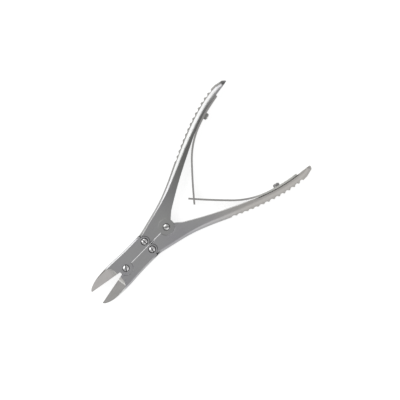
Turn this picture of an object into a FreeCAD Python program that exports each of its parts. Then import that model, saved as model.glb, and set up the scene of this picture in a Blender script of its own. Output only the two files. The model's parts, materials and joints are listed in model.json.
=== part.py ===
import FreeCAD, Part
import math
import os
import Sketcher

# Double action bone cutting forceps, laid flat with its handles and blades fully open.
# Millimetres and degrees. Every piece is drawn from the rear pivot: X runs forward to the
# blades, Y to the left handle, Z up through the screw heads, with Z = 0 halfway through
# the joint. The placement then moves that point so that the origin is on the surface that
# the forceps lies on, below the middle of its length.

# Driving dimensions. Headings are measured from the length of the tool.
SIZES = {
    # The joint
    "plate_thickness": 6.5,
    "pivot_spacing": 43.5,
    "link_reach": 19.5,
    "link_offset": 4.1,
    "rear_knuckle_radius": 6.2,
    "front_knuckle_radius": 5.4,
    "knuckle_gap": 0.16,
    "lap_gap": 0.1,
    "seam_gap": 0.3,
    "shoulder_gap": 0.5,
    "jaw_shoulder_gap": 0.05,
    "tongue_thickness": 2.1,
    "tongue_radius": 3.7,
    "tongue_gap": 0.06,
    "tongue_end_gap": 0.45,
    "tail_gap": 0.4,
    "waist_half_width": 10.4,
    # The lever's outer edge, from the joint to the tip
    "waist_heading": 11.0,
    "waist_length": 10.7,
    "neck_radius": 153.0,
    "handle_heading": 25.0,
    "handle_straight": 24.6,
    "palm_radius": 200.0,
    "palm_heading": 14.5,
    "heel_radius": 80.0,
    "heel_heading": 2.0,
    "tip_radius": 14.5,
    "tip_end_radius": 1.7,
    # The lever's inner edge
    "crotch_angle": 15.5,
    "crotch_length": 6.6,
    "crotch_heading": 40.6,
    "inner_heading": 31.5,
    "inner_radius": 400.0,
    "seat_heading": 26.0,
    "inner_straight": 16.5,
    "seat_radius": 125.0,
    "inner_tip_heading": 7.5,
    # The lever's section
    "grip_thickness": 10.0,
    "joint_band": 1.7,
    "palm_band": 5.5,
    "joint_blank": 14.5,
    "handle_blank": 10.0,
    "palm_blank": 7.5,
    # The grooves across the grip
    "groove_count": 14,
    "groove_pitch": 4.45,
    "groove_start": 2.2,
    "groove_depth": 1.2,
    "groove_land": 0.35,
    "groove_fade": 0.4,
    # The jaws
    "half_opening": 10.25,
    "jaw_waist_radius": 240.0,
    "blade_start": 2.2,
    "blade_half_width": 10.4,
    "blade_radius": 120.0,
    "blade_heading": 6.0,
    "belly_heading": 15.5,
    "belly_radius": 26.0,
    "nose_heading": 36.0,
    "nose_radius": 5.0,
    "edge_gap": 0.05,
    "edge_land": 0.1,
    "bevel_start": 7.6,
    "bevel_angle": 23.5,
    "bevel_run_out": 5.0,
    "bevel_clearance": 0.55,
    "jaw_edge_round": 1.4,
    # The screws
    "shank_radius": 1.7,
    "head_radius": 2.6,
    "head_side": 0.45,
    "head_dome": 0.85,
    "sink_radius": 2.9,
    "sink_depth": 0.5,
    "slot_width": 0.7,
    "slot_depth": 0.65,
    "running_gap": 0.03,
    "front_pivot_gap": 0.1,
    "thread_gap": 0.01,
    "seat_gap": 0.02,
    "shank_chamfer": 0.3,
    "rear_slot_turn": -43.0,
    "front_slot_turn": 55.0,
    "left_slot_turn": 75.0,
    "right_slot_turn": 90.0,
    # The leaf springs and their screws
    "spring_thickness": 1.25,
    "spring_seat_gap": 0.15,
    "spring_root_width": 8.0,
    "spring_end_width": 6.0,
    "spring_root_heading": 8.0,
    "spring_leave_heading": 20.0,
    "spring_bend_radius": 62.0,
    "spring_leaf_heading": 45.8,
    "spring_leaf_radius": 450.0,
    "spring_end_heading": 50.0,
    "tongue_width": 2.4,
    "tongue_length": 6.0,
    "window_width": 3.2,
    "window_back": 2.0,
    "window_front": 1.5,
    "spring_screw_heading": 16.0,
    "spring_screw_radius": 1.4,
    "spring_screw_depth": 3.0,
    "spring_head_side": 1.8,
    "spring_head_dome": 0.85,
}

doc = FreeCAD.newDocument("BoneCuttingForceps")
sheet = doc.addObject("Spreadsheet::Sheet", "Dims")
for row, (name, size) in enumerate(SIZES.items(), start=1):
    sheet.set(f"A{row}", name)
    sheet.set(f"B{row}", str(size))
    sheet.setAlias(f"B{row}", name)
doc.recompute()


def value(expression):
    """The number that an expression of the sheet's cells gives now."""
    return float(sheet.evalExpression(expression))


def size(name):
    return value(f"Dims.{name}")


# Lengths that several pieces share, as expressions of the cells
HALF_PLATE = "Dims.plate_thickness / 2"
HALF_SEAM = "Dims.seam_gap / 2"
HALF_LAP = "Dims.lap_gap / 2"
HALF_TONGUE = "Dims.tongue_thickness / 2"
TAIL_RADIUS = f"(Dims.link_offset - {HALF_SEAM})"
CLEAR_OF_ALL = "3 * Dims.grip_thickness"
FAR = "2 * Dims.pivot_spacing"


class Edge:
    """A chain of lines and tangent arcs that runs rearward, held as expressions.

    A heading is the angle between the chain and the tool's length, and is positive while
    the chain moves away from the centre line.
    """

    def __init__(self, x, y, heading):
        self.points = [(x, y)]
        self.headings = [heading]
        self.spans = []

    def line(self, length):
        self.spans.append(("line", length, None))
        self.points.append(self.on_line(self.points[-1], self.headings[-1], length))
        self.headings.append(self.headings[-1])

    def arc(self, radius, heading, bend):
        """bend is 1 where the heading grows on the way to the rear, and -1 where it falls."""
        self.spans.append(("arc", radius, bend))
        self.points.append(self.on_arc(self.points[-1], self.headings[-1], heading, radius, bend))
        self.headings.append(heading)

    @staticmethod
    def on_line(start, heading, length):
        x, y = start
        return (f"{x} - {length} * cos({heading})", f"{y} + {length} * sin({heading})")

    @staticmethod
    def on_arc(start, first, last, radius, bend):
        x, y = start
        return (
            f"{x} - {bend} * {radius} * (sin({last}) - sin({first}))",
            f"{y} + {bend} * {radius} * (cos({first}) - cos({last}))",
        )

    def station(self, span, share):
        """The point and heading at a share of one span."""
        kind, length, bend = self.spans[span]
        first = self.headings[span]
        if kind == "line":
            return (*self.on_line(self.points[span], first, f"{share} * {length}"), first)
        heading = f"({first} + {share} * ({self.headings[span + 1]} - {first}))"
        return (*self.on_arc(self.points[span], first, heading, length, bend), heading)

    def length(self, span):
        kind, amount, bend = self.spans[span]
        if kind == "line":
            return value(amount)
        turn = math.radians(abs(value(f"{self.headings[span + 1]} - {self.headings[span]}")))
        return value(amount) * turn


def outer_edge():
    """The lever's outer edge, from ahead of the link to past the tip of the handle.

    It runs straight on from the heel, and the tip is rounded off it later.
    """
    lead = "Dims.tongue_radius"
    waist = f"Dims.waist_half_width - {lead} * tan(Dims.waist_heading)"
    edge = Edge(f"Dims.link_reach + {lead}", waist, "Dims.waist_heading")
    edge.line(f"(Dims.waist_length + {lead} / cos(Dims.waist_heading))")
    edge.arc("Dims.neck_radius", "Dims.handle_heading", 1)
    edge.line("Dims.handle_straight")
    edge.arc("Dims.palm_radius", "Dims.palm_heading", -1)
    edge.arc("Dims.heel_radius", "Dims.heel_heading", -1)
    edge.line("Dims.tip_radius")
    return edge


def inner_edge():
    """The lever's inner edge, from the crotch behind the rear knuckle to the tip."""
    recess = "(Dims.rear_knuckle_radius + Dims.knuckle_gap)"
    crotch = (f"-{recess} * cos(Dims.crotch_angle)", f"{recess} * sin(Dims.crotch_angle)")
    edge = Edge(*crotch, "Dims.crotch_heading")
    edge.line("Dims.crotch_length")
    edge.headings[-1] = "Dims.inner_heading"
    edge.arc("Dims.inner_radius", "Dims.seat_heading", -1)
    edge.line("Dims.inner_straight")
    edge.arc("Dims.seat_radius", "Dims.inner_tip_heading", -1)
    edge.line("2 * Dims.tip_radius")
    return edge


OUTER = outer_edge()
INNER = inner_edge()
CROTCH, INNER_BOW, INNER_STRAIGHT, SPRING_SEAT, INNER_TIP = range(5)
WAIST, NECK, STRAIGHT, PALM, HEEL, TIP = range(6)


def tip_outline():
    """The round end of the handle, beside the inner edge's last line.

    Each point is a distance along that line, from its start, and one square to it. The
    outline leaves the heel's end, falls to a small nose and meets the line at a right angle.
    """
    start_x, start_y = INNER.points[INNER_TIP]
    heel_x, heel_y = OUTER.points[TIP]
    axis = "Dims.inner_tip_heading"
    across, up = f"({start_x} - ({heel_x}))", f"({heel_y} - ({start_y}))"
    heel = (f"({across} * cos({axis}) + {up} * sin({axis}))", f"({up} * cos({axis}) - {across} * sin({axis}))")
    fall = f"({axis} - Dims.heel_heading)"
    nose = "Dims.tip_end_radius"
    long = "Dims.tip_radius"
    # The long arc and the nose share a tangent at this angle to the line
    meet = f"acos(({long} * cos({fall}) - {heel[1]}) / ({long} - {nose}))"
    joint = (f"{heel[0]} + {long} * (sin({meet}) - sin({fall}))", f"{nose} * cos({meet})")
    end = (f"{joint[0]} + {nose} * (1 - sin({meet}))", "0")
    return heel, joint, end


HEEL_END, NOSE_START, NOSE_END = tip_outline()


def new_body(label):
    body = doc.addObject("PartDesign::Body", label)
    body.Label = label
    return body


def new_sketch(body, name, plane, offset=None):
    """A sketch on one of the body's own planes, moved by a placement expression."""
    support = [feature for feature in body.Origin.OriginFeatures if feature.Role == plane][0]
    sketch = body.newObject("Sketcher::SketchObject", name)
    sketch.AttachmentSupport = [(support, "")]
    sketch.MapMode = "FlatFace"
    if offset:
        sketch.setExpression("AttachmentOffset", offset)
    return sketch


def bind(sketch, kind, arguments, expression):
    number = sketch.addConstraint(Sketcher.Constraint(kind, *arguments, value(expression)))
    sketch.renameConstraint(number, f"c{number}")
    sketch.setExpression(f"Constraints.c{number}", expression)


def draw_loop(sketch, corners, arcs=None):
    """A closed outline through corners given as expressions.

    arcs gives, for the edge that leaves a corner, its radius and the side that it bulges
    to: 1 for the left of the way from its corner to the next, and -1 for the right.
    """
    arcs = arcs or {}
    spots = [FreeCAD.Vector(value(x), value(y), 0) for x, y in corners]
    ends = []
    for number, spot in enumerate(spots):
        after = spots[(number + 1) % len(spots)]
        if number not in arcs:
            edge = sketch.addGeometry(Part.LineSegment(spot, after), False)
            ends.append((edge, 1, 2))
            continue
        radius, bulge = arcs[number]
        half = (after - spot) * 0.5
        across = FreeCAD.Vector(-half.y, half.x, 0).normalize()
        depth = math.sqrt(max(value(radius) ** 2 - half.Length ** 2, 0))
        centre = spot + half - across * depth * bulge
        first, last = (spot, after) if bulge < 0 else (after, spot)
        start = math.atan2(first.y - centre.y, first.x - centre.x)
        stop = math.atan2(last.y - centre.y, last.x - centre.x)
        circle = Part.Circle(centre, FreeCAD.Vector(0, 0, 1), value(radius))
        edge = sketch.addGeometry(Part.ArcOfCircle(circle, start, stop), False)
        ends.append((edge, 1, 2) if bulge < 0 else (edge, 2, 1))
    for number, (edge, first, last) in enumerate(ends):
        following, following_first, following_last = ends[(number + 1) % len(ends)]
        sketch.addConstraint(Sketcher.Constraint("Coincident", edge, last, following, following_first))
        bind(sketch, "DistanceX", (-1, 1, edge, first), corners[number][0])
        bind(sketch, "DistanceY", (-1, 1, edge, first), corners[number][1])
        if number in arcs:
            bind(sketch, "Radius", (edge,), arcs[number][0])


def draw_circle(sketch, x, y, radius):
    centre = FreeCAD.Vector(value(x), value(y), 0)
    circle = sketch.addGeometry(Part.Circle(centre, FreeCAD.Vector(0, 0, 1), value(radius)), False)
    bind(sketch, "DistanceX", (-1, 1, circle, 3), x)
    bind(sketch, "DistanceY", (-1, 1, circle, 3), y)
    bind(sketch, "Radius", (circle,), radius)


def level_sketch(body, name, low, high):
    """A sketch parallel to the plates, halfway between two heights."""
    offset = f"placement(vector(0; 0; ({low} + {high}) / 2); rotation(vector(0; 0; 1); 0))"
    return new_sketch(body, name, "XY_Plane", offset)


def extrude(body, kind, sketch, length):
    """A pad or pocket that runs equally far to both sides of its sketch."""
    feature = body.newObject(f"PartDesign::{kind}", f"{sketch.Name}_{kind.lower()}")
    feature.Profile = sketch
    feature.Midplane = True
    feature.setExpression("Length", length)
    sketch.Visibility = False
    return feature


def disc(body, kind, name, centre, radius, low, high):
    sketch = level_sketch(body, name, low, high)
    draw_circle(sketch, *centre, radius)
    return extrude(body, kind, sketch, f"{high} - ({low})")


def block(body, kind, name, corners, low, high, arcs=None):
    sketch = level_sketch(body, name, low, high)
    draw_loop(sketch, corners, arcs)
    return extrude(body, kind, sketch, f"{high} - ({low})")


def place(feature, x="0", y="0", z="0", turn="rotation(vector(0; 0; 1); 0)"):
    """Moves a piece from the rear pivot's frame to the tool's own."""
    middle = f"(({BLADE_TIP}) + ({HANDLE_TIP})) / 2"
    height = "Dims.grip_thickness / 2"
    feature.setExpression("Placement", f"placement(vector({x} - {middle}; {y}; {z} + {height}); {turn})")


HANDLE_TIP = Edge.on_line(INNER.points[INNER_TIP], "Dims.inner_tip_heading", f"({NOSE_END[0]})")[0]
REAR_PIVOT = ("0", "0")
FRONT_PIVOT = ("Dims.pivot_spacing", "0")


def link(side):
    return ("Dims.link_reach", f"{side} * Dims.link_offset")


# The levers
# A lever is a forged blank with a D section, lofted along its outer edge. Each station
# gives a share of a span of that edge, the blank's width, how far the rounded band has
# grown from the joint's to the palm's, and how far the thickness has from the plate's to
# the grip's.
STATIONS = [
    (WAIST, 0, "Dims.joint_blank", 0, 0),
    (WAIST, 1, "Dims.joint_blank", 0, 0),
    (NECK, 0.5, "Dims.joint_blank", 0.08, 0),
    (NECK, 1, "Dims.handle_blank", 0.4, 0.25),
    (STRAIGHT, 1, "Dims.handle_blank", 0.82, 0.75),
    (PALM, 0.5, "Dims.palm_blank", 1, 1),
    (PALM, 1, "Dims.palm_blank", 1, 1),
    (HEEL, 0.5, "Dims.palm_blank", 1, 0.95),
    (HEEL, 1, "Dims.palm_blank", 1, 0.85),
    (TIP, 1, "Dims.palm_blank", 1, 0.7),
]


def section(body, side, name, station, width, band, half_height):
    """One D section: flat inside, top and bottom, and round on the outside."""
    x, y, heading = station
    offset = f"placement(vector({side} * ({y}); 0; {x}); rotation(vector(0; 1; 0); {-side} * ({heading})))"
    sketch = new_sketch(body, name, "YZ_Plane", offset)
    inner = f"{-side} * {width}"
    edge = f"{-side} * {band}"
    corners = [(inner, f"-({half_height})"), (edge, f"-({half_height})"), (edge, half_height), (inner, half_height)]
    round_radius = f"(({half_height})^2 + ({band})^2) / (2 * {band})"
    draw_loop(sketch, corners, {1: (round_radius, -side)})
    sketch.Visibility = False
    return sketch


def lever_blank(body, side):
    sections = []
    for number, (span, share, width, growth, swell) in enumerate(STATIONS):
        band = f"(Dims.joint_band + {growth} * (Dims.palm_band - Dims.joint_band))"
        half = f"({HALF_PLATE} + {swell} * (Dims.grip_thickness - Dims.plate_thickness) / 2)"
        station = OUTER.station(span, share)
        sections.append(section(body, side, f"section{number}", station, width, band, half))
    loft = body.newObject("PartDesign::AdditiveLoft", "blank")
    loft.Profile = sections[0]
    loft.Sections = sections[1:]
    return loft


def trim_inside(body, side):
    """Cuts the blank back to the seam, the crotch and the handle's inner face."""
    points = INNER.points
    corners = [(FAR, HALF_SEAM), ("0", HALF_SEAM)] + points
    corners += [(points[-1][0], f"-{FAR}"), (FAR, f"-{FAR}")]
    arcs = {
        2 + INNER_BOW: ("Dims.inner_radius", -side),
        2 + SPRING_SEAT: ("Dims.seat_radius", -side),
    }
    mirrored = [(x, f"{side} * ({y})") for x, y in corners]
    return block(body, "Pocket", "inside", mirrored, f"-{CLEAR_OF_ALL}", CLEAR_OF_ALL, arcs)


def flatten_sides(body):
    """Grinds the grip flat above and below, which is what the forceps lies on."""
    everywhere = [(FAR, FAR), (f"-2 * {FAR}", FAR), (f"-2 * {FAR}", f"-{FAR}"), (FAR, f"-{FAR}")]
    flat = "Dims.grip_thickness / 2"
    block(body, "Pocket", "flat_above", everywhere, flat, CLEAR_OF_ALL)
    block(body, "Pocket", "flat_below", everywhere, f"-{CLEAR_OF_ALL}", f"-{flat}")


def round_tip(body, side):
    """Turns the handle's end to a round point about the line of its inner face."""
    x, y = INNER.points[INNER_TIP]
    turn = f"rotation(vector(0; 0; 1); {side} * (180 - Dims.inner_tip_heading))"
    sketch = new_sketch(body, "tip", "XY_Plane", f"placement(vector({x}; {side} * ({y}); 0); {turn})")
    clear = "2 * Dims.grip_thickness"
    outer = [HEEL_END, NOSE_START, NOSE_END]
    beyond = [(f"{NOSE_END[0]} + {clear}", "0"), (f"{NOSE_END[0]} + {clear}", clear), (HEEL_END[0], clear)]
    corners = [(x, f"{-side} * ({y})") for x, y in outer + beyond]
    draw_loop(sketch, corners, {0: ("Dims.tip_radius", -side), 1: ("Dims.tip_end_radius", -side)})
    sketch.Visibility = False
    turned = body.newObject("PartDesign::Groove", "round_tip")
    turned.Profile = sketch
    turned.ReferenceAxis = (sketch, ["H_Axis"])
    turned.Angle = 360


def lap(body, name, centre, radius, layer):
    """Half of a lap joint: a knuckle in one layer, and room for the other's knuckle."""
    pivot_face = f"{layer} * {HALF_LAP}"
    plate_face = f"{layer} * {HALF_PLATE}"
    beyond = f"{-layer} * {CLEAR_OF_ALL}"
    recess = f"{radius} + Dims.knuckle_gap"
    own = (pivot_face, plate_face) if layer > 0 else (plate_face, pivot_face)
    other = (beyond, pivot_face) if layer > 0 else (pivot_face, beyond)
    disc(body, "Pad", f"{name}_knuckle", centre, radius, *own)
    disc(body, "Pocket", f"{name}_recess", centre, recess, *other)


def through_hole(body, name, centre, radius):
    disc(body, "Pocket", name, centre, radius, f"-{CLEAR_OF_ALL}", CLEAR_OF_ALL)


def sink(body, name, centre):
    """The flat recess that a screw head lies in."""
    disc(body, "Pocket", name, centre, "Dims.sink_radius", f"{HALF_PLATE} - Dims.sink_depth", CLEAR_OF_ALL)


def lever_tongue(body, side):
    """The front end: square shoulders, and a thin round tongue for the jaw's fork."""
    room = f"{TAIL_RADIUS} + Dims.tail_gap"
    faces = {"above": (HALF_TONGUE, CLEAR_OF_ALL), "below": (f"-{CLEAR_OF_ALL}", f"-{HALF_TONGUE}")}
    block(body, "Pocket", "front", ahead_of("Dims.jaw_shoulder_gap"), f"-{CLEAR_OF_ALL}", CLEAR_OF_ALL)
    for name, heights in faces.items():
        block(body, "Pocket", f"shoulder_{name}", ahead_of("Dims.shoulder_gap"), *heights)
        disc(body, "Pocket", f"room_{name}", link(side), room, *heights)
    disc(body, "Pad", "tongue", link(side), "Dims.tongue_radius", f"-{HALF_TONGUE}", HALF_TONGUE)


def ahead_of(gap):
    """All that lies ahead of the jaw's shoulder, less a gap."""
    shoulder = f"Dims.link_reach - {gap}"
    return [(shoulder, f"-{FAR}"), (FAR, f"-{FAR}"), (FAR, FAR), (shoulder, FAR)]


def spring_screw_station():
    """Where the spring screw meets the handle's inner face."""
    first = INNER.points[SPRING_SEAT]
    heading = "Dims.spring_screw_heading"
    x, y = Edge.on_arc(first, "Dims.seat_heading", heading, "Dims.seat_radius", -1)
    return (x, y, heading)


def spring_screw_hole(body, side, gap, depth):
    """A hole square to the handle's inner face, as deep to each side of it."""
    x, y, heading = spring_screw_station()
    offset = f"placement(vector({x}; 0; {-side} * ({y})); rotation(vector(0; 1; 0); {-side} * {heading}))"
    sketch = new_sketch(body, "spring_hole", "XZ_Plane", offset)
    draw_circle(sketch, "0", "0", f"Dims.spring_screw_radius + {gap}")
    extrude(body, "Pocket", sketch, f"2 * {depth}")


def groove_cutter(side, label):
    """A tool of round scallops along the outer edge, with a short land between each pair."""
    spans = [HEEL, PALM, STRAIGHT]
    lengths = [OUTER.length(span) for span in spans]
    count = int(size("groove_count"))
    pitch = size("groove_pitch")
    half_mouth = (pitch - size("groove_land")) / 2

    def edge_point(distance, rise=0.0):
        """A point beside the outer edge, at a distance forward from the heel's end."""
        for span, length in zip(spans, lengths):
            if distance <= length or span == spans[-1]:
                share = 1 - distance / length
                break
            distance -= length
        x, y, heading = [value(term) for term in OUTER.station(span, share)]
        turn = math.radians(heading)
        return FreeCAD.Vector(x + rise * math.sin(turn), side * (y + rise * math.cos(turn)), 0)

    edges = []
    last = None
    for number in range(count):
        middle = size("groove_start") + pitch * (number + 0.5)
        depth = size("groove_depth") * (1 - size("groove_fade") * number / max(count - 1, 1))
        near, far = edge_point(middle - half_mouth), edge_point(middle + half_mouth)
        if last:
            edges.append(Part.LineSegment(last, near).toShape())
        edges.append(Part.Arc(near, edge_point(middle, -depth), far).toShape())
        last = far
    first = edge_point(size("groove_start") + pitch / 2 - half_mouth)
    clear = size("grip_thickness")
    beyond = max(side * first.y, side * last.y) + clear
    over_last = FreeCAD.Vector(last.x, side * beyond, 0)
    over_first = FreeCAD.Vector(first.x, side * beyond, 0)
    for start, stop in ((last, over_last), (over_last, over_first), (over_first, first)):
        edges.append(Part.LineSegment(start, stop).toShape())
    face = Part.Face(Part.Wire(edges))
    face.translate(FreeCAD.Vector(0, 0, -clear))
    cutter = doc.addObject("Part::Feature", label)
    cutter.Shape = face.extrude(FreeCAD.Vector(0, 0, 2 * clear))
    place(cutter)
    return cutter


def lever(side, layer, name):
    body = new_body(f"{name}_blank")
    lever_blank(body, side)
    trim_inside(body, side)
    flatten_sides(body)
    round_tip(body, side)
    lever_tongue(body, side)
    lap(body, "rear", REAR_PIVOT, "Dims.rear_knuckle_radius", layer)
    gap = "Dims.running_gap" if layer > 0 else "Dims.thread_gap"
    through_hole(body, "rear_hole", REAR_PIVOT, f"Dims.shank_radius + {gap}")
    through_hole(body, "link_hole", link(side), "Dims.shank_radius + Dims.running_gap")
    if layer > 0:
        sink(body, "rear_sink", REAR_PIVOT)
    spring_screw_hole(body, side, "Dims.thread_gap", "Dims.spring_screw_depth")
    place(body)
    grooved = doc.addObject("Part::Cut", name)
    grooved.Label = name
    grooved.Base = body
    grooved.Tool = groove_cutter(side, f"{name}_grooves")
    return grooved


# The jaws
# A blade is drawn as it lies with the forceps closed, with its cutting edge along X from
# the front pivot, and is then turned open.
def opened(x, y, side):
    """A point of the closed blade, turned open about the front pivot."""
    return (
        f"Dims.pivot_spacing + ({x}) * cos(Dims.half_opening) - ({y}) * sin(Dims.half_opening)",
        f"{side} * (({x}) * sin(Dims.half_opening) + ({y}) * cos(Dims.half_opening))",
    )


def blade_curve():
    """The back of the blade, from beside the pivot to past its tip, and the tip itself."""
    x = "Dims.blade_start"
    y = "Dims.blade_half_width"
    points = [(x, y)]
    heading = "Dims.blade_heading"
    arcs = (("Dims.blade_radius", "Dims.belly_heading"), ("Dims.belly_radius", "Dims.nose_heading"))
    for radius, following in arcs:
        x = f"{x} + {radius} * (sin({following}) - sin({heading}))"
        y = f"{y} - {radius} * (cos({heading}) - cos({following}))"
        points.append((x, y))
        heading = following
    last = f"acos(cos({heading}) - ({y} - Dims.edge_gap) / Dims.nose_radius)"
    tip = (f"{x} + Dims.nose_radius * (sin({last}) - sin({heading}))", "Dims.edge_gap")
    points.append((f"{x} + Dims.nose_radius * (1 - sin({heading}))", f"{y} - Dims.nose_radius * cos({heading})"))
    return points, tip


BLADE_BACK, TIP_POINT = blade_curve()
BLADE_TIP = opened(*TIP_POINT, 1)[0]


# The edge line starts inside the knuckle, which covers the corner between them
NOTCH = "(Dims.front_knuckle_radius - Dims.bevel_clearance)"


def cut_edge_line(body, side):
    """Cuts the blade straight along its edge, ahead of the knuckle."""
    corners = [(NOTCH, "Dims.edge_gap"), (FAR, "Dims.edge_gap"), (FAR, f"-{FAR}"), (NOTCH, f"-{FAR}")]
    turned = [opened(x, y, side) for x, y in corners]
    block(body, "Pocket", "edge_line", turned, f"-{CLEAR_OF_ALL}", CLEAR_OF_ALL)


def jaw_outline(side):
    shoulder = "Dims.link_reach + Dims.jaw_shoulder_gap"
    tail_top = f"Dims.link_offset + {TAIL_RADIUS}"
    corners = [
        (shoulder, "Dims.waist_half_width"),
        *[opened(x, y, 1) for x, y in BLADE_BACK],
        opened(NOTCH, BLADE_BACK[-1][1], 1),
        ("Dims.pivot_spacing", HALF_SEAM),
        ("Dims.link_reach", HALF_SEAM),
        (f"Dims.link_reach - {TAIL_RADIUS}", "Dims.link_offset"),
        ("Dims.link_reach", tail_top),
        (shoulder, tail_top),
    ]
    arcs = {
        0: ("Dims.jaw_waist_radius", -side),
        1: ("Dims.blade_radius", side),
        2: ("Dims.belly_radius", side),
        3: ("Dims.nose_radius", side),
        7: (TAIL_RADIUS, side),
        8: (TAIL_RADIUS, side),
    }
    return [(x, f"{side} * ({y})") for x, y in corners], arcs


def round_back(body, side):
    """Rounds the two long edges of the jaw's outer side."""
    doc.recompute()
    plate = body.Tip
    half = value(HALF_PLATE)
    start = value("Dims.link_reach")
    tiny = 1e-3
    chosen = []
    for number, edge in enumerate(plate.Shape.Edges, start=1):
        box = edge.BoundBox
        flat = box.ZLength < tiny and abs(abs(box.ZMin) - half) < tiny
        middle = edge.CenterOfMass
        curved = isinstance(edge.Curve, Part.Circle) and edge.Curve.Radius > value(TAIL_RADIUS) + tiny
        if flat and curved and middle.x > start:
            chosen.append(f"Edge{number}")
    rounding = body.newObject("PartDesign::Fillet", "rounded_back")
    rounding.Base = (plate, chosen)
    rounding.setExpression("Radius", "Dims.jaw_edge_round")
    return rounding


def bevel_section(body, side, name, across):
    """One end of the grinding path: the bevel, and its run-out of the wheel's radius."""
    rise = f"(Dims.edge_land / 2 + {across} * tan(Dims.bevel_angle))"
    x, y = opened("0", across, side)
    offset = f"placement(vector({x}; {rise}; -({y})); rotation(vector(0; 1; 0); {side} * Dims.half_opening))"
    sketch = new_sketch(body, name, "XZ_Plane", offset)
    reach = "Dims.pivot_spacing"
    top = "2 * Dims.plate_thickness"
    deep = f"({HALF_PLATE} - Dims.edge_land / 2)"
    run = f"sqrt(2 * Dims.bevel_run_out * {deep} - {deep}^2)"
    corners = [
        ("Dims.bevel_start", deep),
        (f"Dims.bevel_start + {run}", "0"),
        (reach, "0"),
        (reach, top),
        ("Dims.bevel_start", top),
    ]
    draw_loop(sketch, corners, {0: ("Dims.bevel_run_out", -1)})
    sketch.Visibility = False
    return sketch


def grind_bevels(body, side):
    """The flat bevels ground on both faces down to the cutting edge."""
    grinding = body.newObject("PartDesign::SubtractiveLoft", "bevel")
    near = bevel_section(body, side, "bevel_near", "(-Dims.bevel_clearance)")
    far = bevel_section(body, side, "bevel_far", "(Dims.blade_half_width + Dims.bevel_clearance)")
    grinding.Profile = near
    grinding.Sections = [far]
    grinding.Ruled = True
    body.Tip = grinding
    doc.recompute()
    mirror = body.newObject("PartDesign::Mirrored", "bevels")
    mirror.Originals = [grinding]
    plane = [feature for feature in body.Origin.OriginFeatures if feature.Role == "XY_Plane"][0]
    mirror.MirrorPlane = (plane, [""])
    body.Tip = mirror


def jaw_fork(body, side):
    """The slot in the jaw's tail that takes the lever's tongue."""
    low = f"-({HALF_TONGUE} + Dims.tongue_gap)"
    high = f"({HALF_TONGUE} + Dims.tongue_gap)"
    rear = [("0", f"-{FAR}"), ("Dims.link_reach", f"-{FAR}"), ("Dims.link_reach", FAR), ("0", FAR)]
    block(body, "Pocket", "fork", rear, low, high)
    disc(body, "Pocket", "fork_end", link(side), "Dims.tongue_radius + Dims.tongue_end_gap", low, high)


def jaw(side, layer, name):
    body = new_body(name)
    corners, arcs = jaw_outline(side)
    block(body, "Pad", "plate", corners, f"-{HALF_PLATE}", HALF_PLATE, arcs)
    round_back(body, side)
    cut_edge_line(body, side)
    jaw_fork(body, side)
    lap(body, "front", FRONT_PIVOT, "Dims.front_knuckle_radius", layer)
    gap = "Dims.front_pivot_gap" if layer > 0 else "Dims.thread_gap"
    through_hole(body, "front_hole", FRONT_PIVOT, f"Dims.shank_radius + {gap}")
    through_hole(body, "link_hole", link(side), "Dims.shank_radius + Dims.thread_gap")
    sink(body, "link_sink", link(side))
    if layer > 0:
        sink(body, "front_sink", FRONT_PIVOT)
    grind_bevels(body, side)
    place(body)
    return body


# The screws
def screw(name, shank, radius, side, dome):
    """A slotted cheese head screw whose head sits on Z = 0, with its slot along X."""
    body = new_body(name)
    profile = new_sketch(body, "profile", "XZ_Plane")
    chamfer = "Dims.shank_chamfer"
    dome_radius = f"(Dims.head_radius^2 + {dome}^2) / (2 * {dome})"
    corners = [
        ("0", f"-({shank})"),
        (f"{radius} - {chamfer}", f"-({shank})"),
        (radius, f"-({shank}) + {chamfer}"),
        (radius, "0"),
        ("Dims.head_radius", "0"),
        ("Dims.head_radius", side),
        ("0", f"{side} + {dome}"),
    ]
    draw_loop(profile, corners, {5: (dome_radius, -1)})
    turned = body.newObject("PartDesign::Revolution", "turned")
    turned.Profile = profile
    turned.ReferenceAxis = (profile, ["V_Axis"])
    turned.Angle = 360
    profile.Visibility = False
    top = f"{side} + {dome}"
    half_slot = "Dims.slot_width / 2"
    long = "2 * Dims.head_radius"
    slot = [(f"-{long}", f"-{half_slot}"), (long, f"-{half_slot}"), (long, half_slot), (f"-{long}", half_slot)]
    block(body, "Pocket", "slot", slot, f"{top} - Dims.slot_depth", f"{top} + Dims.slot_depth")
    return body


def plate_screw(name, centre, slot_turn):
    """A screw through the plates, flush below and proud of its sink above."""
    shank = "Dims.plate_thickness - Dims.sink_depth - Dims.seat_gap"
    body = screw(name, shank, "Dims.shank_radius", "Dims.head_side", "Dims.head_dome")
    seat = f"{HALF_PLATE} - Dims.sink_depth + Dims.seat_gap"
    place(body, *centre, seat, f"rotation(vector(0; 0; 1); {slot_turn})")
    return body


def spring_screw(name, side):
    """The screw that holds a leaf spring to its handle."""
    x, y, heading = spring_screw_station()
    proud = "(Dims.spring_seat_gap + Dims.spring_thickness + Dims.seat_gap)"
    shank = f"{proud} + Dims.spring_screw_depth - Dims.seat_gap"
    body = screw(name, shank, "Dims.spring_screw_radius", "Dims.spring_head_side", "Dims.spring_head_dome")
    seat_x = f"{x} - {proud} * sin({heading})"
    seat_y = f"{side} * ({y} - {proud} * cos({heading}))"
    turn = f"rotation({-side} * {heading}; 0; {side} * 90) * rotation(vector(0; 0; 1); 90)"
    place(body, seat_x, seat_y, "0", turn)
    return body


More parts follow.
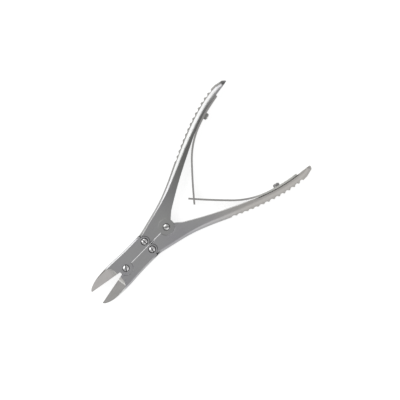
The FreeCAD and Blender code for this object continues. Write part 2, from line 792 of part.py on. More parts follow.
# The leaf springs
def spring_line():
    """The spring's seat side, as points and headings from its root to its free end."""
    seat_start = INNER.points[SPRING_SEAT]
    leave = "Dims.spring_leave_heading"
    leaf = "Dims.spring_leaf_heading"
    end = "Dims.spring_end_heading"
    stations = []
    for heading in ("Dims.spring_root_heading", leave):
        x, y = Edge.on_arc(seat_start, "Dims.seat_heading", heading, "Dims.seat_radius", -1)
        stations.append((x, y, heading))
    for radius, first, last in (("Dims.spring_bend_radius", leave, leaf), ("Dims.spring_leaf_radius", leaf, end)):
        x = f"{x} + {radius} * (sin({last}) - sin({first}))"
        y = f"{y} - {radius} * (cos({first}) - cos({last}))"
        stations.append((x, y, last))
    return stations


def leaf_spring(side, name):
    """A flat strip, bent to lie on the handle and then cross the centre line."""
    body = new_body(name)
    radii = ["Dims.seat_radius", "Dims.spring_bend_radius", "Dims.spring_leaf_radius"]
    stations = spring_line()

    def face(depth):
        return [(f"{x} - {depth} * sin({a})", f"{side} * ({y} - {depth} * cos({a}))") for x, y, a in stations]

    near = "Dims.spring_seat_gap"
    far = "(Dims.spring_seat_gap + Dims.spring_thickness)"
    corners = face(near) + face(far)[::-1]
    arcs = {}
    for number, radius in enumerate(radii):
        arcs[number] = (f"{radius} - {near}", side)
        arcs[6 - number] = (f"{radius} - {far}", -side)
    width = "Dims.spring_root_width"
    block(body, "Pad", "strip", corners, f"-{width} / 2", f"{width} / 2", arcs)
    trim_spring(body, stations)
    end_x = stations[-1][0]
    if side > 0:
        spring_tongue(body, end_x)
    else:
        spring_window(body, end_x)
    spring_screw_hole(body, side, "Dims.front_pivot_gap", "Dims.spring_screw_depth")
    place(body)
    return body


def side_cut(body, name, corners, arcs=None):
    """Cuts a shape seen from the side through the whole spring."""
    sketch = new_sketch(body, name, "XZ_Plane")
    draw_loop(sketch, corners, arcs)
    return extrude(body, "Pocket", sketch, FAR + " * 4")


def trim_spring(body, stations):
    """Tapers the strip to its free end and rounds its root."""
    root_x = stations[0][0]
    end_x = f"({stations[-1][0]} + Dims.spring_thickness)"
    half_root = "Dims.spring_root_width / 2"
    half_end = "Dims.spring_end_width / 2"
    clear = "Dims.spring_root_width"
    leave_x = stations[1][0]
    start = f"({root_x} - Dims.spring_thickness)"
    for name, sign in (("above", 1), ("below", -1)):
        beyond = f"{sign} * {clear}"
        taper = [(leave_x, f"{sign} * {half_root}"), (end_x, f"{sign} * {half_end}")]
        side_cut(body, f"taper_{name}", taper + [(end_x, beyond), (leave_x, beyond)])
        round_end = [(start, "0"), (f"{start} + {half_root}", f"{sign} * {half_root}")]
        outside = [(f"{start} + {half_root}", beyond), (f"{start} - {clear}", beyond), (f"{start} - {clear}", "0")]
        side_cut(body, f"root_{name}", round_end + outside, {0: (half_root, sign)})


def spring_tongue(body, end_x):
    """The left spring's narrow end, which slides in the right spring's window."""
    shoulder = f"({end_x} - Dims.tongue_length)"
    beyond = f"({end_x} + Dims.tongue_length)"
    half = "Dims.tongue_width / 2"
    clear = "Dims.spring_root_width"
    for name, sign in (("tongue_above", 1), ("tongue_below", -1)):
        low, high = f"{sign} * {half}", f"{sign} * {clear}"
        side_cut(body, name, [(shoulder, low), (beyond, low), (beyond, high), (shoulder, high)])


def spring_window(body, end_x):
    """The window near the right spring's end, about the crossing point."""
    crossing = crossing_x()
    back = f"({crossing} - Dims.window_back)"
    front = f"({crossing} + Dims.window_front)"
    half = "Dims.window_width / 2"
    side_cut(body, "window", [(back, f"-{half}"), (front, f"-{half}"), (front, half), (back, half)])


def crossing_x():
    """Where the middle of each leaf crosses the centre line."""
    x, y, heading = spring_line()[2]
    radius = "Dims.spring_leaf_radius"
    middle = "(Dims.spring_seat_gap + Dims.spring_thickness / 2)"
    last = f"acos(cos({heading}) - ({y}) / ({radius} - {middle}))"
    return f"{x} + ({radius} - {middle}) * (sin({last}) - sin({heading}))"


LEFT, RIGHT = 1, -1
BELOW, ABOVE = -1, 1

pieces = [
    lever(LEFT, BELOW, "lever_left"),
    lever(RIGHT, ABOVE, "lever_right"),
    jaw(LEFT, BELOW, "jaw_left"),
    jaw(RIGHT, ABOVE, "jaw_right"),
    plate_screw("rear_pivot_screw", REAR_PIVOT, "Dims.rear_slot_turn"),
    plate_screw("front_pivot_screw", FRONT_PIVOT, "Dims.front_slot_turn"),
    plate_screw("link_screw_left", link(LEFT), "Dims.left_slot_turn"),
    plate_screw("link_screw_right", link(RIGHT), "Dims.right_slot_turn"),
    leaf_spring(LEFT, "leaf_spring_left"),
    leaf_spring(RIGHT, "leaf_spring_right"),
    spring_screw("spring_screw_left", LEFT),
    spring_screw("spring_screw_right", RIGHT),
]
doc.recompute()

for feature in doc.Objects:
    if any(word in state for state in feature.State for word in ("Invalid", "Error")):
        raise RuntimeError(f"{feature.Label} did not build: {feature.State}")
os.makedirs("parts", exist_ok=True)
for piece in pieces:
    shape = piece.Shape
    if shape.isNull() or not shape.isValid() or len(shape.Solids) != 1:
        raise RuntimeError(f"{piece.Label} is not one sound solid: {shape.Solids}")
for piece in pieces:
    piece.Shape.exportStep(f"parts/{piece.Label}.step")
    print(piece.Label, round(piece.Shape.Volume, 1))
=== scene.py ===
import json
import math

import bpy
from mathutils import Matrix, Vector

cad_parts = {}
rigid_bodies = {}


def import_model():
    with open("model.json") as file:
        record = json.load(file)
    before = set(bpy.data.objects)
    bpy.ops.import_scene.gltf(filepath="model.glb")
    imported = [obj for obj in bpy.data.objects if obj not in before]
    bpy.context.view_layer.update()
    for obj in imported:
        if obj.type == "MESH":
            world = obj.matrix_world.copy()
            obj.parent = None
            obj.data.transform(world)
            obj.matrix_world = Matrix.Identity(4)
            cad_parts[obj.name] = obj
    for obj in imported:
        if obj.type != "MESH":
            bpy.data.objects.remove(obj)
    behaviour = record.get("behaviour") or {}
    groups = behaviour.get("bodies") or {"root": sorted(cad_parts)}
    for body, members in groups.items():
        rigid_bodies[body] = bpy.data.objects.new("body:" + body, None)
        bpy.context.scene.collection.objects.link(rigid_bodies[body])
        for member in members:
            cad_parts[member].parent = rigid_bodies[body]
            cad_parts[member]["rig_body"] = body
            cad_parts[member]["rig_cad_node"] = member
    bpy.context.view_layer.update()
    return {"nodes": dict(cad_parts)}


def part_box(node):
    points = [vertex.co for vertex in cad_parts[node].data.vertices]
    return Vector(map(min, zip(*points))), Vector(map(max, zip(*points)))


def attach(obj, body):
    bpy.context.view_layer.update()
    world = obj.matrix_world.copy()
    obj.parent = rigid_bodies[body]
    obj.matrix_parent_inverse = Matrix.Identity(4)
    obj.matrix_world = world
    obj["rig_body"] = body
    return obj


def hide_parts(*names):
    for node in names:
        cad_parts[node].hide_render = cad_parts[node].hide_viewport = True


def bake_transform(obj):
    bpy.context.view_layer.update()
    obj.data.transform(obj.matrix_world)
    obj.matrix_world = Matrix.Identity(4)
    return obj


# Looks of the bone cutting forceps: satin steel levers and jaws, bright screws, and two leaf
# springs. +X runs forward to the blades, +Y to the left
# handle and +Z up, as in the imported frame. Sizes on the tool are in millimetres, and MM turns
# them into the metres that Blender takes.

MM = 0.001
SIDES = (("left", 1), ("right", -1))

# The camera looks straight down, turned so that the blades point to the lower left
VIEW_TURN = 134.43
VIEW_TARGET = Vector((-14.38, 3.82, 5.0)) * MM
VIEW_DISTANCE = 0.9
VIEW_WIDTH = 302.6 * MM
VIEW_CLIP = (0.05, 20.0)
SENSOR = 36.0

# Light
SKY = 0.4
FLOOR_SIZE = 6.0
FLOOR_COLOUR = (0.45, 0.45, 0.45)
FLOOR_GLOW = 0.8
FLOOR_MIRRORED = 0.5
WHITE = (1.0, 1.0, 1.0)

# The grip's outer edge, from its tip end forwards: each arc's centre, radius and the edge's
# slope where the arc starts and ends, and then a straight at the last slope
GRIP_ARCS = (((-85.35, -30.72), 80.0, 2.0, 14.5), ((-115.40, -146.90), 200.0, 14.5, 25.0))

# The grooves across the grip, whose depth goes from the first value to the second
GROOVES = 14
GROOVE_PITCH = 4.45
GROOVE_START = 2.2
GROOVE_WIDTH = 3.5
GROOVE_DEPTHS = (1.35, 0.85)
GRIP_MIDDLE = 5.0
CUTTER_SIDES = 40
CUTTER_LENGTH = 20.0

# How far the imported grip's round side stays below its edge, at places along X
GRIP_FALLS_SHORT = (
    (-93.0, 0.0),
    (-84.0, 1.4),
    (-74.0, 1.1),
    (-65.0, 0.95),
    (-48.0, 0.95),
    (-31.0, 0.5),
    (-9.0, 0.0),
)

# The left grip's tip is blunter: from here rearwards, by this share of the distance squared
BLUNT_FROM = -89.0
BLUNTING = 0.1

# The joint: where the left link screw is, from where to where the painted shade in the open work round it
# fades, and the heights of the plates' tops and of the tongues
LINK = Vector((37.39, 4.1, 5.0))
LINK_FADES = (4.7, 7.05)
PLATE_TOP = 8.25
TONGUE = 2.1

# The line between the tongues, and how far back and how wide each is filled up to it
SEAM = 0.3
SEAM_FILL = (6.5, 0.8)

# The leaf springs are cut across into this many sections and swelled by this much
SPRING_CUTS = 22
SPRING_SWELL = 0.1

# Points closer than this are merged, and edges flatter than these angles are smooth
MERGED = 0.002
LEVER_SMOOTH = 18.0
STRIP_SMOOTH = 30.0

# Brushing: how fine the coarse and the fine one are along, across and up, the coarse one's
# share in the grain, and how deep the grain is. The heads are brushed at a turn.
COARSE_SCALE = (60.0, 2600.0, 1400.0)
FINE_SCALE = (140.0, 6200.0, 3000.0)
COARSE_SHARE = 0.7
GRAIN_STRENGTH = 0.35
DEEP_GRAIN = 0.02
SHALLOW_GRAIN = 0.01
HEAD_TURN = 35.0

# Clouds, stains and a cooler tint: how fine they are, and where their ramps start and end
CLOUD_SCALE = 60.0
STAIN_SCALE = 230.0
STAIN_RAMP = ((0.42, 0.0), (0.7, 1.0))
TINT_SCALE = 38.0
TINT_RAMP = ((0.35, 0.0), (0.65, 1.0))
TINT_TURN = 0.5
COOLER = (0.985, 0.97, 1.02)
CLOUD_DARKENS = 0.45
STAIN_DARKENS = 0.35

# How dull the steel is, and what each thing adds to that
DULLNESS = 0.3
BRUSH_DULLS = 0.16
CLOUD_DULLS = 0.1
STAIN_DULLS = 0.04
JOINT_SHADE_DULLS = 0.25
GRIP_DULLS = 0.14
BEVEL_DULLS = 0.22
NOISE_MIDDLE = 0.5

# How round the edges look, and how finely that is sampled
EDGE_ROUND = 0.2
LEFT_EDGE_ROUND = 0.4
EDGE_SAMPLES = 6
# The seat's rounding only finds the left lever's inner edge, where the painted seat shadow and painted
# highlight go
SEAT_ROUND = 1.0
SEAT_SAMPLES = 8

# Each steel's colour, and the darker one of its clouds and stains
SATIN = ((0.6, 0.6, 0.605), (0.53, 0.535, 0.53))
RIGHT_SATIN = ((0.56, 0.565, 0.56), (0.5, 0.5, 0.49))
STRIP = ((0.66, 0.65, 0.63), (0.52, 0.51, 0.49))
DOME = ((0.86, 0.86, 0.85), (0.74, 0.74, 0.73))
SPRING_HEAD = ((0.46, 0.46, 0.44), (0.34, 0.34, 0.33))

# The tones that the finishes add, and the strength of those that aren't full
# Painted shade in the open work round the link screws, below the plates' tops
JOINT_SHADE_TONE = (0.1, 0.1, 0.1)
WARM = (0.6, 0.58, 0.555)
# Painted shadow along the spring's seat on the left lever's inner edge
SEAT_SHADOW = (0.05, 0.05, 0.048)
# Painted highlight along the left lever's inner edge ahead of the spring's seat
GLINT = (0.97, 0.96, 0.94)
DARK_FLAT = (0.28, 0.28, 0.27)
# Painted shade on the right lever's outer rim: darker where the rim faces the window lamp, lighter
# further out
RIM_SHADE_WHERE_LIT = (0.29, 0.285, 0.27)
RIM_SHADE_WHERE_DIM = (0.56, 0.55, 0.53)
RIM_SHADE_STRENGTH = 0.45
GRIP_ADDS_RIM_SHADE = 0.5
# Painted shade at the right grip's tip
TIP_SHADE = (0.13, 0.125, 0.12)
TIP_SHADE_STRENGTH = 0.7
# Painted light on the left spring where it lies along its handle
ROOT_LIGHT = (0.93, 0.93, 0.89)
# Painted shade on the heads' rims and slot floors
HEAD_PAINTED_SHADE = (0.08, 0.08, 0.08)
# The left blade's bevel tone is painted shade; the right one's is near the steel's own colour
BEVELS = {"left": (0.235, 0.23, 0.222), "right": (0.62, 0.6, 0.585)}
BEVEL_STRENGTH = 0.9
# Painted light along the left blade's back and painted shade along the right one's
BACK_LIGHT_AND_SHADE = {"left": (0.8, 0.8, 0.79), "right": (0.16, 0.15, 0.14)}
# Painted highlight on the run-out behind the bevels
RUN_OUT_HIGHLIGHT = (0.74, 0.73, 0.71)

# From where to where along X a tone comes in or goes out
SEAT_SHADOW_BEGINS = (-81.0, -79.0)
SEAT_SHADOW_ENDS = (-48.0, -42.0)
GLINT_BEGINS = (-42.0, -34.0)
GLINT_ENDS = (6.0, 12.0)
WARMTH_ENDS = (-40.0, 5.0)
DARKNESS_ENDS = (-35.0, 25.0)
DARK_FLAT_BEGINS = (-84.0, -58.0)
TIP_SHADE_BEGINS = (-92.6, -90.6)
TIP_SHADE_ENDS = (-88.9, -87.3)
ROOT_LIGHT_ENDS = (-50.0, -38.0)
BLADE_BEGINS = (66.0, 67.0)
BACK_BEGINS = (71.0, 74.0)
RUN_OUT_ENDS = (72.5, 74.0)

# From where to where in height the joint's painted shade goes out and a head's dome comes in
JOINT_SHADE_ENDS = (PLATE_TOP - 0.12, PLATE_TOP - 0.02)
DOME_BEGINS = (PLATE_TOP + 0.17, PLATE_TOP + 0.32)

# How much a surface has to face one way, from 0 to 1, for a tone to come in or go out
EDGE_INWARD = (0.06, 0.2)
EDGE_UPWARD = (0.8, 0.95)
FLAT_UPWARD = (0.975, 0.995)
RIM_OUTWARD = (0.54, 0.67)
RIM_SHADE_OUTWARD = (0.68, 0.85)
BEVEL_INWARD = (0.12, 0.3)
BACK_OUTWARD = (0.12, 0.35)
BACK_UPWARD = (0.1, 0.3)
RUN_OUT_FORWARD = (0.2, 0.4)
RUN_OUT_OUTWARD = (0.0, 0.15)

# Sockets of the Mix node that only their numbers tell apart when it mixes colours
MIX_SHARE = 0
MIX_FIRST = 6
MIX_SECOND = 7
MIXED_COLOUR = 2

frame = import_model()
nodes = frame["nodes"]


class Value:
    """A shader socket that Python's own operators work on."""

    def __init__(self, graph, socket):
        self.graph = graph
        self.socket = socket

    def maths(self, operation, *terms):
        return self.graph.node("ShaderNodeMath", {"operation": operation}, dict(enumerate(terms)))

    def __add__(self, other):
        return self.maths("ADD", self, other)

    def __radd__(self, other):
        return self.maths("ADD", other, self)

    def __sub__(self, other):
        return self.maths("SUBTRACT", self, other)

    def __rsub__(self, other):
        return self.maths("SUBTRACT", other, self)

    def __mul__(self, other):
        return self.maths("MULTIPLY", self, other)

    def __rmul__(self, other):
        return self.maths("MULTIPLY", other, self)

    def __truediv__(self, other):
        return self.maths("DIVIDE", self, other)

    def __neg__(self):
        return self.maths("MULTIPLY", self, -1.0)

    def __abs__(self):
        return self.maths("ABSOLUTE", self)


class Graph:
    """The node tree of one material or of the world."""

    def __init__(self, owner):
        owner.use_nodes = True
        self.tree = owner.node_tree
        self.tree.nodes.clear()

    def node(self, kind, settings=None, inputs=None, output=0):
        """Adds a node: its settings first, then what goes into its sockets."""
        made = self.tree.nodes.new(kind)
        for name, setting in (settings or {}).items():
            if name == "stops":
                self.set_stops(made.color_ramp, setting)
            else:
                setattr(made, name, setting)
        for name, term in (inputs or {}).items():
            if isinstance(term, Value):
                self.tree.links.new(term.socket, made.inputs[name])
            else:
                made.inputs[name].default_value = term
        return Value(self, made.outputs[output]) if made.outputs else None

    @staticmethod
    def set_stops(ramp, stops):
        while len(ramp.elements) < len(stops):
            ramp.elements.new(1.0)
        for element, (place, shade) in zip(ramp.elements, stops):
            element.position = place
            element.color = (shade, shade, shade, 1.0)

    def place(self, scale=(1.0, 1.0, 1.0), turn=0.0):
        """Where a point is on the object, in metres, turned about Z and then scaled."""
        here = self.node("ShaderNodeTexCoord", output="Object")
        inputs = {"Vector": here, "Angle": turn}
        turned = self.node("ShaderNodeVectorRotate", {"rotation_type": "Z_AXIS"}, inputs)
        return self.node("ShaderNodeVectorMath", {"operation": "MULTIPLY"}, {0: turned, 1: scale})

    def split(self, vector):
        """The X, Y and Z values of a vector."""
        parts = self.node("ShaderNodeSeparateXYZ", None, {0: vector})
        return [Value(self, socket) for socket in parts.socket.node.outputs]

    def point(self):
        """Where a point is on the object, in millimetres."""
        return [part / MM for part in self.split(self.node("ShaderNodeTexCoord", output="Object"))]

    def lean(self):
        """Which way the surface faces on the object."""
        return self.split(self.node("ShaderNodeTexCoord", output="Normal"))

    def rounded(self, radius, samples):
        """Which way the surface would face if its edges were rounded."""
        return self.node("ShaderNodeBevel", {"samples": samples}, {"Radius": radius * MM})

    def noise(self, where, scale=1.0, detail=2.0, roughness=0.5):
        inputs = {"Vector": where, "Scale": scale, "Detail": detail, "Roughness": roughness}
        return self.node("ShaderNodeTexNoise", None, inputs)

    def ramp(self, term, stops):
        return self.node("ShaderNodeValToRGB", {"stops": stops}, {"Fac": term})

    def blend(self, share, first, second):
        """The first colour turned into the second, by a share from 0 to 1."""
        inputs = {MIX_SHARE: share}
        for name, colour in ((MIX_FIRST, first), (MIX_SECOND, second)):
            inputs[name] = colour if isinstance(colour, Value) else (*colour, 1.0)
        return self.node("ShaderNodeMix", {"data_type": "RGBA"}, inputs, output=MIXED_COLOUR)

    def rise(self, term, band):
        """0 where a value is below the band and 1 where it is above."""
        inputs = {"Value": term, "From Min": band[0], "From Max": band[1]}
        return self.node("ShaderNodeMapRange", {"interpolation_type": "SMOOTHSTEP"}, inputs)

    def fall(self, term, band):
        """1 where a value is below the band and 0 where it is above."""
        return 1.0 - self.rise(term, band)


def steel(name, colours, grain=DEEP_GRAIN, turn=0.0, edge=EDGE_ROUND, finish=None):
    """Satin stainless steel, brushed along one direction, with faint stains and scratches.

    finish is given the graph, the colour and the roughness, and returns both as changed.
    """
    material = bpy.data.materials.new(name)
    graph = Graph(material)
    colour, dark = colours
    angle = math.radians(turn)
    coarse = graph.noise(graph.place(COARSE_SCALE, angle), detail=3.0, roughness=0.6)
    fine = graph.noise(graph.place(FINE_SCALE, angle))
    cloud = graph.noise(graph.place(), CLOUD_SCALE)
    stain = graph.ramp(graph.noise(graph.place(), STAIN_SCALE, detail=4.0, roughness=0.6), STAIN_RAMP)
    turned = graph.place(turn=TINT_TURN)
    tint = graph.ramp(graph.noise(turned, TINT_SCALE, detail=1.0, roughness=0.4), TINT_RAMP)
    cool = tuple(part * shift for part, shift in zip(colour, COOLER))
    shade = graph.blend(tint, colour, cool)
    shade = graph.blend(cloud * CLOUD_DARKENS + stain * STAIN_DARKENS, shade, dark)
    rough = DULLNESS + (coarse - NOISE_MIDDLE) * BRUSH_DULLS
    rough = rough + (cloud - NOISE_MIDDLE) * CLOUD_DULLS + stain * STAIN_DULLS
    if finish:
        shade, rough = finish(graph, shade, rough)
    inputs = {
        "Height": coarse * COARSE_SHARE + fine * (1.0 - COARSE_SHARE),
        "Strength": GRAIN_STRENGTH,
        "Distance": grain * MM,
        "Normal": graph.rounded(edge, EDGE_SAMPLES),
    }
    bump = graph.node("ShaderNodeBump", None, inputs)
    inputs = {"Base Color": shade, "Metallic": 1.0, "Roughness": rough, "Normal": bump}
    shader = graph.node("ShaderNodeBsdfPrincipled", None, inputs)
    graph.node("ShaderNodeOutputMaterial", None, {"Surface": shader})
    return material


def paint_joint_shade(graph, shade, rough):
    """The open work round the link screws gets painted shade, and turns duller, below the plates' tops.
    """
    x, y, z = graph.point()
    ahead = x - LINK.x
    aside = abs(y) - LINK.y
    near = graph.fall(ahead * ahead + aside * aside, [reach ** 2 for reach in LINK_FADES])
    # Painted shade on the recessed surfaces near the link screws
    joint_shade = near * graph.fall(z, JOINT_SHADE_ENDS)
    return graph.blend(joint_shade, shade, JOINT_SHADE_TONE), rough + joint_shade * JOINT_SHADE_DULLS


def warm_grip(graph, shade, rough):
    """The left lever turns warmer and duller from the joint towards the grip.

    Its inner edge has a painted shadow along the spring's seat and a painted highlight ahead of it.
    """
    shade, rough = paint_joint_shade(graph, shade, rough)
    x = graph.point()[0]
    grip = graph.fall(x, WARMTH_ENDS)
    shade = graph.blend(grip, shade, WARM)
    inward = -graph.split(graph.rounded(SEAT_ROUND, SEAT_SAMPLES))[1]
    edge = graph.rise(inward, EDGE_INWARD) * graph.rise(graph.lean()[2], EDGE_UPWARD)
    seat_shadow = edge * graph.rise(x, SEAT_SHADOW_BEGINS) * graph.fall(x, SEAT_SHADOW_ENDS)
    glint = edge * graph.rise(x, GLINT_BEGINS) * graph.fall(x, GLINT_ENDS)
    # Painted shadow along the spring's seat
    shade = graph.blend(seat_shadow, shade, SEAT_SHADOW)
    # Painted highlight along the inner edge ahead of the seat
    return graph.blend(glint, shade, GLINT), rough + grip * GRIP_DULLS


def darker_grip(graph, shade, rough):
    """The right lever's flats darken towards the grip; its outer rim gets painted shade, stronger on the
    grip, and the grip's tip a spot of painted shade.
    """
    shade, rough = paint_joint_shade(graph, shade, rough)
    x = graph.point()[0]
    lean = graph.lean()
    grip = graph.fall(x, DARKNESS_ENDS)
    flat = graph.rise(lean[2], FLAT_UPWARD) * grip * graph.rise(x, DARK_FLAT_BEGINS)
    shade = graph.blend(flat, shade, DARK_FLAT)
    outward = -lean[1]
    rim_shade_tone = graph.blend(graph.rise(outward, RIM_SHADE_OUTWARD), RIM_SHADE_WHERE_LIT, RIM_SHADE_WHERE_DIM)
    # Painted shade along the outer rim, stronger towards the grip
    rim_shade = graph.rise(outward, RIM_OUTWARD) * (RIM_SHADE_STRENGTH + GRIP_ADDS_RIM_SHADE * grip)
    shade = graph.blend(rim_shade, shade, rim_shade_tone)
    # A spot of painted shade near the grip's tip
    tip_shade = graph.rise(x, TIP_SHADE_BEGINS) * graph.fall(x, TIP_SHADE_ENDS)
    return graph.blend(tip_shade * TIP_SHADE_STRENGTH, shade, TIP_SHADE), rough


def ground_blade(side, sign):
    """A finish with dull bevels, painted shade on the left bevel, a painted highlight on the run-out
    behind them, and along the blade's back painted light on the left blade and painted shade on the
    right.
    """

    def finish(graph, shade, rough):
        shade, rough = paint_joint_shade(graph, shade, rough)
        x = graph.point()[0]
        lean = graph.lean()
        blade = graph.rise(x, BLADE_BEGINS)
        outward = lean[1] * float(sign)
        bevel = blade * graph.rise(-outward, BEVEL_INWARD)
        # Painted shade on the left blade's bevel
        shade = graph.blend(bevel * BEVEL_STRENGTH, shade, BEVELS[side])
        back = graph.rise(outward, BACK_OUTWARD) * graph.rise(lean[2], BACK_UPWARD)
        # Painted light on the left blade's back, painted shade on the right one's
        shade = graph.blend(back * graph.rise(x, BACK_BEGINS), shade, BACK_LIGHT_AND_SHADE[side])
        slope = graph.rise(lean[0], RUN_OUT_FORWARD) * graph.fall(outward, RUN_OUT_OUTWARD)
        run_out_highlight = slope * blade * graph.fall(x, RUN_OUT_ENDS)
        # Painted highlight on the run-out
        return graph.blend(run_out_highlight, shade, RUN_OUT_HIGHLIGHT), rough + bevel * BEVEL_DULLS

    return finish


def paint_root_light(graph, shade, rough):
    """The left spring gets painted light where it lies along its handle."""
    return graph.blend(graph.fall(graph.point()[0], ROOT_LIGHT_ENDS), shade, ROOT_LIGHT), rough


def domed_head(graph, shade, rough):
    """The rim and the slot's floor get painted shade, darker than the polished dome."""
    return graph.blend(graph.rise(graph.point()[2], DOME_BEGINS), HEAD_PAINTED_SHADE, shade), rough


def wear(piece, material):
    piece.data.materials.clear()
    piece.data.materials.append(material)


def select_only(piece):
    bpy.ops.object.select_all(action="DESELECT")
    piece.select_set(True)
    bpy.context.view_layer.objects.active = piece


def copy_node(name, new_name):
    """A merged copy of a carried over node, free of its body."""
    select_only(nodes[name])
    bpy.ops.object.duplicate()
    piece = bpy.context.object
    piece.name = new_name
    bpy.ops.object.parent_clear(type="CLEAR_KEEP_TRANSFORM")
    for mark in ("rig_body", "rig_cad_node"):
        del piece[mark]
    bpy.ops.mesh.customdata_custom_splitnormals_clear()
    bpy.ops.object.mode_set(mode="EDIT")
    bpy.ops.mesh.select_all(action="SELECT")
    bpy.ops.mesh.remove_doubles(threshold=MERGED * MM)
    bpy.ops.object.mode_set(mode="OBJECT")
    return piece


def apply_modifier(piece, kind, **settings):
    modifier = piece.modifiers.new(kind.lower(), kind)
    for name, setting in settings.items():
        setattr(modifier, name, setting)
    bpy.context.view_layer.objects.active = piece
    bpy.ops.object.modifier_apply(modifier=modifier.name)


def combine(piece, tool, operation):
    """Adds another piece to this one or cuts it away, and removes the other."""
    apply_modifier(piece, "BOOLEAN", operation=operation, solver="EXACT", object=tool)
    bpy.data.objects.remove(tool)


def grip_edge(distance):
    """A point of the left grip's outer edge and its slope, a distance forward from its tip end."""
    for (x, y), radius, first, last in GRIP_ARCS:
        length = radius * math.radians(last - first)
        slope = math.radians(first) + min(distance, length) / radius
        point = Vector((x + radius * math.sin(slope), y + radius * math.cos(slope), 0.0))
        if distance <= length:
            return point, slope
        distance -= length
    return point + distance * Vector((math.cos(slope), -math.sin(slope), 0.0)), slope


def falls_short(x):
    """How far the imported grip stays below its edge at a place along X."""
    for (x0, short0), (x1, short1) in zip(GRIP_FALLS_SHORT, GRIP_FALLS_SHORT[1:]):
        if x0 <= x <= x1:
            return short0 + (short1 - short0) * (x - x0) / (x1 - x0)
    return 0.0


def fill_out_grip(lever, sign):
    """Swells the grip's round outer side up to its true edge."""
    most = max(short for x, short in GRIP_FALLS_SHORT)
    band = lever.vertex_groups.new(name="round_side")
    for vertex in lever.data.vertices:
        outward = max(0.0, vertex.normal.y * sign)
        band.add([vertex.index], outward ** 2 * falls_short(vertex.co.x / MM) / most, "REPLACE")
    swell = {"strength": most * MM, "mid_level": 0.0}
    apply_modifier(lever, "DISPLACE", direction="NORMAL", vertex_group=band.name, **swell)


def groove_cutter(number, sign):
    """The round cutter of one groove, counted from the tip."""
    share = number / (GROOVES - 1)
    depth = GROOVE_DEPTHS[0] + share * (GROOVE_DEPTHS[1] - GROOVE_DEPTHS[0])
    radius = (GROOVE_WIDTH ** 2 / 4 + depth ** 2) / (2 * depth)
    point, slope = grip_edge(GROOVE_START + GROOVE_PITCH * (number + 0.5))
    centre = point + (radius - depth) * Vector((math.sin(slope), math.cos(slope), 0.0))
    place = Vector((centre.x, sign * centre.y, GRIP_MIDDLE)) * MM
    size = {"radius": radius * MM, "depth": CUTTER_LENGTH * MM}
    bpy.ops.object.select_all(action="DESELECT")
    bpy.ops.mesh.primitive_cylinder_add(vertices=CUTTER_SIDES, location=place, **size)
    return bpy.context.object


def cut_grooves(lever, sign):
    """Mills the grooves across the grip's outer side, every second one at a time."""
    for start in (0, 1):
        cutters = [groove_cutter(number, sign) for number in range(start, GROOVES, 2)]
        for cutter in cutters:
            cutter.select_set(True)
        bpy.ops.object.join()
        combine(lever, bpy.context.object, "DIFFERENCE")


def blunt_tip(lever):
    """Draws the end of the tip in, the more the nearer it is to the very end."""
    for vertex in lever.data.vertices:
        past = max(0.0, BLUNT_FROM - vertex.co.x / MM)
        vertex.co.x += BLUNTING * past ** 2 * MM


def close_seam(lever, sign):
    """Brings the tongue's inner side up to the seam, so that only a thin line shows through."""
    link = LINK * MM
    size = Vector((SEAM_FILL[0] * MM, SEAM_FILL[1] * MM, TONGUE * MM))
    place = Vector((link.x - size.x / 2, sign * (SEAM * MM + size.y) / 2, link.z))
    bpy.ops.object.select_all(action="DESELECT")
    bpy.ops.mesh.primitive_cube_add(size=1.0, location=place, scale=size)
    combine(lever, bpy.context.object, "UNION")


def grooved_lever(side, sign):
    lever = copy_node(f"lever_{side}", f"grooved_lever_{side}")
    close_seam(lever, sign)
    fill_out_grip(lever, sign)
    cut_grooves(lever, sign)
    if side == "left":
        blunt_tip(lever)
    select_only(lever)
    bpy.ops.object.shade_smooth_by_angle(angle=math.radians(LEVER_SMOOTH))
    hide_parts(f"lever_{side}")
    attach(lever, f"{side}_lever")
    return lever


def leaf_spring(side):
    """A strip copied from the leaf spring, cut across into sections and swelled a little, left where the
    spring is.
    """
    strip = copy_node(f"leaf_spring_{side}", f"spring_strip_{side}")
    low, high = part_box(f"leaf_spring_{side}")
    bpy.ops.object.mode_set(mode="EDIT")
    for number in range(1, SPRING_CUTS):
        bpy.ops.mesh.select_all(action="SELECT")
        along = low.x + (high.x - low.x) * number / SPRING_CUTS
        bpy.ops.mesh.bisect(plane_co=(along, 0.0, 0.0), plane_no=(1.0, 0.0, 0.0))
    bpy.ops.object.mode_set(mode="OBJECT")
    apply_modifier(strip, "DISPLACE", direction="NORMAL", strength=SPRING_SWELL * MM, mid_level=0.0)
    bpy.ops.object.shade_smooth_by_angle(angle=math.radians(STRIP_SMOOTH))
    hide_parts(f"leaf_spring_{side}")
    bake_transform(strip)
    return strip


def dress_steel():
    levers = {
        "left": steel("left_lever_steel", SATIN, edge=LEFT_EDGE_ROUND, finish=warm_grip),
        "right": steel("right_lever_steel", RIGHT_SATIN, finish=darker_grip),
    }
    strips = {
        "left": steel("left_spring_strip", STRIP, SHALLOW_GRAIN, finish=paint_root_light),
        "right": steel("right_spring_strip", STRIP, SHALLOW_GRAIN),
    }
    head = steel("domed_head", DOME, SHALLOW_GRAIN, HEAD_TURN, finish=domed_head)
    spring_head = steel("spring_head", SPRING_HEAD, SHALLOW_GRAIN, HEAD_TURN)
    for side, sign in SIDES:
        wear(grooved_lever(side, sign), levers[side])
        wear(nodes[f"jaw_{side}"], steel(f"{side}_blade", SATIN, finish=ground_blade(side, sign)))
        wear(nodes[f"link_screw_{side}"], head)
        wear(nodes[f"spring_screw_{side}"], spring_head)
        wear(leaf_spring(side), strips[side])
    wear(nodes["rear_pivot_screw"], head)
    wear(nodes["front_pivot_screw"], head)


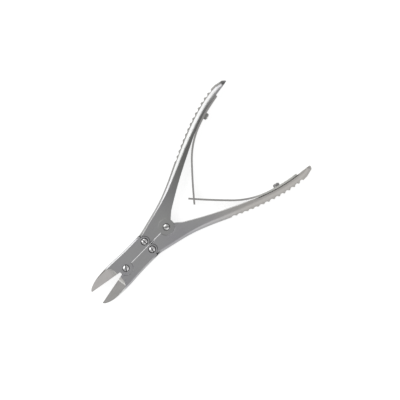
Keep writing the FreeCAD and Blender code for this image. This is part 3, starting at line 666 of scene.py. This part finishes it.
def lay_floor():
    """A pale table that stays white round the shadow."""
    bpy.ops.object.select_all(action="DESELECT")
    bpy.ops.mesh.primitive_plane_add(size=FLOOR_SIZE, location=(0.0, 0.0, 0.0))
    floor = bpy.context.object
    floor.name = "floor"
    material = bpy.data.materials.new("pale_table")
    graph = Graph(material)
    camera = graph.node("ShaderNodeLightPath", output="Is Camera Ray")
    glossy = graph.node("ShaderNodeLightPath", output="Is Glossy Ray")
    through = graph.node("ShaderNodeLightPath", output="Is Transmission Ray")
    seen = camera + glossy * FLOOR_MIRRORED + through
    diffuse = graph.node("ShaderNodeBsdfDiffuse", None, {"Color": (*FLOOR_COLOUR, 1.0)})
    glow = graph.node("ShaderNodeEmission", None, {"Color": (*WHITE, 1.0), "Strength": seen * FLOOR_GLOW})
    both = graph.node("ShaderNodeAddShader", None, {0: diffuse, 1: glow})
    graph.node("ShaderNodeOutputMaterial", None, {"Surface": both})
    floor.data.materials.append(material)


def light_world():
    """A grey room that the camera sees as white."""
    world = bpy.data.worlds.new("room")
    bpy.context.scene.world = world
    graph = Graph(world)
    camera = graph.node("ShaderNodeLightPath", output="Is Camera Ray")
    strength = SKY + (1.0 - SKY) * camera
    shader = graph.node("ShaderNodeBackground", None, {"Color": (*WHITE, 1.0), "Strength": strength})
    graph.node("ShaderNodeOutputWorld", None, {"Surface": shader})


def softbox(name, azimuth, elevation, distance, size, radiance):
    """A soft rectangular lamp that faces the forceps. Azimuth 0 is +X and 90 is +Y."""
    lamp = bpy.data.lights.new(name, "AREA")
    lamp.shape = "RECTANGLE"
    lamp.size, lamp.size_y = size
    lamp.energy = radiance * math.pi * size[0] * size[1]
    holder = bpy.data.objects.new(name, lamp)
    bpy.context.scene.collection.objects.link(holder)
    turn, rise = math.radians(azimuth), math.radians(elevation)
    back = Vector((math.cos(turn) * math.cos(rise), math.sin(turn) * math.cos(rise), math.sin(rise)))
    holder.location = back * distance
    holder.rotation_mode = "QUATERNION"
    holder.rotation_quaternion = (-back).to_track_quat("-Z", "Y")


def add_lights():
    softbox("window", azimuth=-75.0, elevation=32.0, distance=1.3, size=(1.7, 1.35), radiance=1.55)
    softbox("fill", azimuth=90.0, elevation=38.0, distance=1.4, size=(2.2, 1.5), radiance=0.5)


def add_camera():
    data = bpy.data.cameras.new("camera")
    data.sensor_width = SENSOR
    data.lens = SENSOR * VIEW_DISTANCE / VIEW_WIDTH
    data.clip_start, data.clip_end = VIEW_CLIP
    camera = bpy.data.objects.new("camera", data)
    camera.location = VIEW_TARGET + Vector((0.0, 0.0, VIEW_DISTANCE))
    camera.rotation_euler = (0.0, 0.0, math.radians(VIEW_TURN))
    bpy.context.scene.collection.objects.link(camera)
    bpy.context.scene.camera = camera


dress_steel()
lay_floor()
light_world()
add_lights()
add_camera()
bpy.context.scene.view_settings.view_transform = "Standard"
